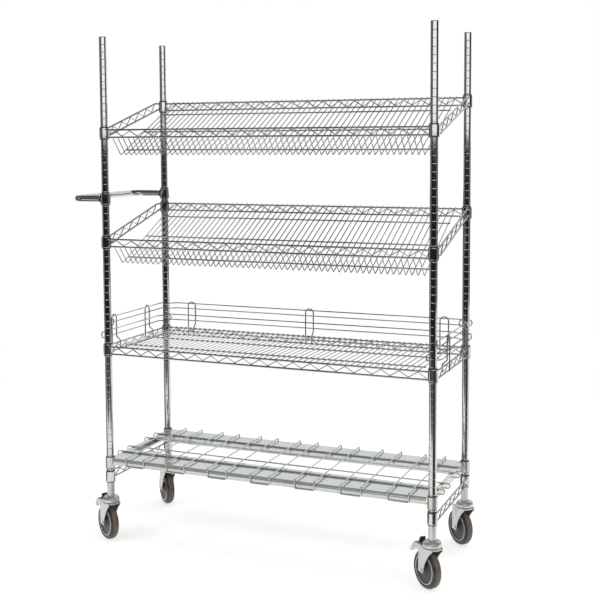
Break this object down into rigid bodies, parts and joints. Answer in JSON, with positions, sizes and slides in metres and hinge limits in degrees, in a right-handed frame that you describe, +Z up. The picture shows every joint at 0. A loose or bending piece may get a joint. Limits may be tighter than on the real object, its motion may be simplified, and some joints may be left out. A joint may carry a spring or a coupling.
{
  "type": "order picking trolley",
  "caption": "Chromed wire shelf trolley with grooved posts, sloping trough shelves, a flat shelf with ledges, a wire-grid base, a push handle and braked swivel castors.",
  "frame": {"origin": "on the floor, midway between the four posts", "axes": "+Z up, +X along the trolley away from the push handle, +Y from the picking side to the back"},
  "size_m": [1.3625, 0.5257, 1.788],
  "materials": {
    "post_chrome": "bright chrome plate on grooved tube",
    "wire_chrome": "bright chrome plate on drawn wire",
    "handle_chrome": "bright chrome plate on bent tube",
    "base_zinc": "bright zinc plate",
    "castor_zinc": "bright zinc plate",
    "axle_steel": "turned steel",
    "sleeve_plastic": "moulded, matt black",
    "post_cap_plastic": "moulded, dark",
    "tyre_rubber": "dark grey solid rubber",
    "hub_plastic": "moulded dark grey"
  },
  "bodies": {
    "frame": {"base_cross_wires": "base_zinc", "base_frame": "base_zinc", "base_long_wires": "base_zinc", "base_panel_back": "base_zinc", "base_panel_front": "base_zinc", "base_sleeves": "sleeve_plastic", "castor_stem_back_left": "castor_zinc", "castor_stem_back_right": "castor_zinc", "castor_stem_front_left": "castor_zinc", "castor_stem_front_right": "castor_zinc", "flat_shelf_deck": "wire_chrome", "flat_shelf_frame": "wire_chrome", "flat_shelf_sleeves": "sleeve_plastic", "handle_sleeves": "sleeve_plastic", "ledge_back": "wire_chrome", "ledge_left": "wire_chrome", "ledge_right": "wire_chrome", "lower_frame": "wire_chrome", "lower_frame_sleeves": "sleeve_plastic", "middle_shelf_deck": "wire_chrome", "middle_shelf_frame": "wire_chrome", "middle_shelf_lip": "wire_chrome", "middle_shelf_sleeves": "sleeve_plastic", "post_back_left": "post_chrome", "post_back_right": "post_chrome", "post_caps": "post_cap_plastic", "post_front_left": "post_chrome", "post_front_right": "post_chrome", "push_handle": "handle_chrome", "swivel_bearings": "castor_zinc", "top_shelf_deck": "wire_chrome", "top_shelf_frame": "wire_chrome", "top_shelf_lip": "wire_chrome", "top_shelf_sleeves": "sleeve_plastic"},
    "castor_front_left": {"castor_fork_front_left": "castor_zinc", "axle_front_left": "axle_steel", "brake_pin_front_left": "castor_zinc"},
    "wheel_front_left": {"tyre_front_left": "tyre_rubber", "wheel_hub_front_left": "hub_plastic", "wheel_bush_front_left": "axle_steel"},
    "pedal_front_left": {"brake_pedal_front_left": "castor_zinc"},
    "castor_front_right": {"castor_fork_front_right": "castor_zinc", "axle_front_right": "axle_steel", "brake_pin_front_right": "castor_zinc"},
    "wheel_front_right": {"tyre_front_right": "tyre_rubber", "wheel_hub_front_right": "hub_plastic", "wheel_bush_front_right": "axle_steel"},
    "pedal_front_right": {"brake_pedal_front_right": "castor_zinc"},
    "castor_back_left": {"castor_fork_back_left": "castor_zinc", "axle_back_left": "axle_steel"},
    "wheel_back_left": {"tyre_back_left": "tyre_rubber", "wheel_hub_back_left": "hub_plastic", "wheel_bush_back_left": "axle_steel"},
    "castor_back_right": {"castor_fork_back_right": "castor_zinc", "axle_back_right": "axle_steel"},
    "wheel_back_right": {"tyre_back_right": "tyre_rubber", "wheel_hub_back_right": "hub_plastic", "wheel_bush_back_right": "axle_steel"}
  },
  "joints": [
    {"name": "swivel_front_left", "type": "hinge", "parent": "frame", "child": "castor_front_left", "pos_m": [-0.591, -0.2105, 0.1442], "axis": [0, 0, 1], "continuous": true},
    {"name": "spin_front_left", "type": "hinge", "parent": "castor_front_left", "child": "wheel_front_left", "pos_m": [-0.61281, -0.19634, 0.0625], "axis": [-0.5446, -0.8387, 0], "continuous": true},
    {"name": "brake_front_left", "type": "hinge", "parent": "castor_front_left", "child": "pedal_front_left", "pos_m": [-0.64635, -0.17455, 0.133], "axis": [-0.5446, -0.8387, 0], "range_deg": [0, 18]},
    {"name": "swivel_front_right", "type": "hinge", "parent": "frame", "child": "castor_front_right", "pos_m": [0.591, -0.2105, 0.1442], "axis": [0, 0, 1], "continuous": true},
    {"name": "spin_front_right", "type": "hinge", "parent": "castor_front_right", "child": "wheel_front_right", "pos_m": [0.57108, -0.19379, 0.0625], "axis": [-0.6428, -0.766, 0], "continuous": true},
    {"name": "brake_front_right", "type": "hinge", "parent": "castor_front_right", "child": "pedal_front_right", "pos_m": [0.54044, -0.16808, 0.133], "axis": [-0.6428, -0.766, 0], "range_deg": [0, 18]},
    {"name": "swivel_back_left", "type": "hinge", "parent": "frame", "child": "castor_back_left", "pos_m": [-0.591, 0.2105, 0.1442], "axis": [0, 0, 1], "continuous": true},
    {"name": "spin_back_left", "type": "hinge", "parent": "castor_back_left", "child": "wheel_back_left", "pos_m": [-0.60938, 0.22889, 0.0625], "axis": [-0.7071, -0.7071, 0], "continuous": true},
    {"name": "swivel_back_right", "type": "hinge", "parent": "frame", "child": "castor_back_right", "pos_m": [0.591, 0.2105, 0.1442], "axis": [0, 0, 1], "continuous": true},
    {"name": "spin_back_right", "type": "hinge", "parent": "castor_back_right", "child": "wheel_back_right", "pos_m": [0.57198, 0.22823, 0.0625], "axis": [-0.682, -0.7314, 0], "continuous": true}
  ]
}
